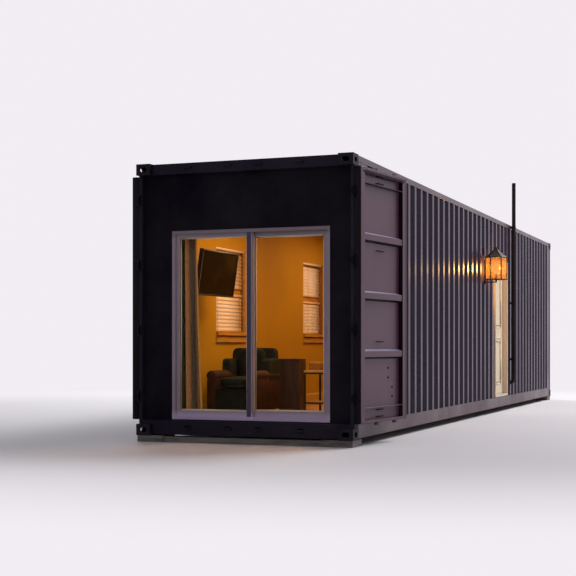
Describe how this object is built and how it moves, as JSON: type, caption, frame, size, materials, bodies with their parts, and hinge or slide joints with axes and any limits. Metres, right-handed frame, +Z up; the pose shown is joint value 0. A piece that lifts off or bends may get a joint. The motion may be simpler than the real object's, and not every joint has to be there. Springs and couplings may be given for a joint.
{
  "type": "shipping container cabin",
  "caption": "High-cube steel container made into a one-room cabin, with cargo doors folded back, a glazed sliding door, side entry door and double-hung windows.",
  "frame": {"origin": "on the ground under the middle of the container", "axes": "+Y along the cabin from the door end to the closed end, +X to the right seen from the door end, +Z up"},
  "size_m": [2.9782, 12.192, 3.64],
  "materials": {
    "support_block": "rough, weathered",
    "cast_corner": "painted casting",
    "frame_paint": "satin",
    "underframe_paint": "matt bitumen",
    "floor_board": "sealed plywood",
    "sheet_paint": "satin",
    "ceiling_paint": "matt paint",
    "lining_paint": "matt paint",
    "infill_paint": "matt",
    "white_vinyl": "semi-gloss",
    "window_wood": "varnished",
    "clear_glass": "clear",
    "door_paint": "satin",
    "galvanised": "painted over galvanising",
    "trim_paint": "semi-gloss",
    "entry_paint": "semi-gloss",
    "handle_metal": "brushed",
    "blind_slats": "satin",
    "lantern_metal": "oiled bronze",
    "lamp_glow": "lit",
    "pipe_paint": "satin",
    "dark_gloss": "gloss",
    "rod_metal": "bronze",
    "curtain_cloth": "woven",
    "chair_cloth": "short pile",
    "table_wood": "stained"
  },
  "bodies": {
    "container": {"support_blocks": "support_block", "corner_castings": "cast_corner", "corner_posts": "frame_paint", "hinge_lugs": "frame_paint", "door_header": "frame_paint", "door_sill": "frame_paint", "rear_frame": "frame_paint", "bottom_rails": "frame_paint", "top_rails": "frame_paint", "cross_members": "underframe_paint", "floor_deck": "floor_board", "roof_panel": "sheet_paint", "ceiling": "ceiling_paint", "left_wall": "sheet_paint", "right_wall": "sheet_paint", "right_wall_over_door": "sheet_paint", "end_wall": "sheet_paint", "left_lining": "lining_paint", "right_lining": "lining_paint", "right_lining_over_door": "lining_paint", "end_lining": "lining_paint", "infill_sides": "infill_paint", "infill_over_door": "infill_paint", "patio_frame": "white_vinyl", "patio_fixed_panel": "white_vinyl", "patio_fixed_glass": "clear_glass", "entry_door_frame": "trim_paint", "window_frames": "window_wood", "window_glass": "clear_glass", "window_blinds": "blind_slats", "wall_lantern": "lantern_metal", "lantern_glass": "lamp_glow", "vent_pipe": "pipe_paint", "television": "dark_gloss", "curtain_rod": "rod_metal", "curtain": "curtain_cloth", "armchair": "chair_cloth", "armchair_cushions": "chair_cloth", "side_tables": "table_wood"},
    "cargo_leaf_left": {"cargo_door_left": "door_paint", "locking_gear_left": "galvanised"},
    "cargo_leaf_right": {"cargo_door_right": "door_paint", "locking_gear_right": "galvanised"},
    "sliding_panel": {"patio_sliding_panel": "white_vinyl", "patio_sliding_glass": "clear_glass"},
    "entry_leaf": {"entry_door_leaf": "entry_paint", "entry_door_handle": "handle_metal"}
  },
  "joints": [
    {"name": "cargo_left_hinge", "type": "hinge", "parent": "container", "child": "cargo_leaf_left", "pos_m": [-1.205, -6.076, 1.5], "axis": [0, 0, 1], "range_deg": [0, 262.5]},
    {"name": "cargo_right_hinge", "type": "hinge", "parent": "container", "child": "cargo_leaf_right", "pos_m": [1.205, -6.076, 1.5], "axis": [0, 0, 1], "range_deg": [-262.5, 0]},
    {"name": "patio_slide", "type": "slide", "parent": "container", "child": "sliding_panel", "axis": [-1, 0, 0], "range_m": [0, 0.8]},
    {"name": "entry_hinge", "type": "hinge", "parent": "container", "child": "entry_leaf", "pos_m": [1.091, 1.8465, 1.2], "axis": [0, 0, 1], "range_deg": [-90, 0]}
  ]
}
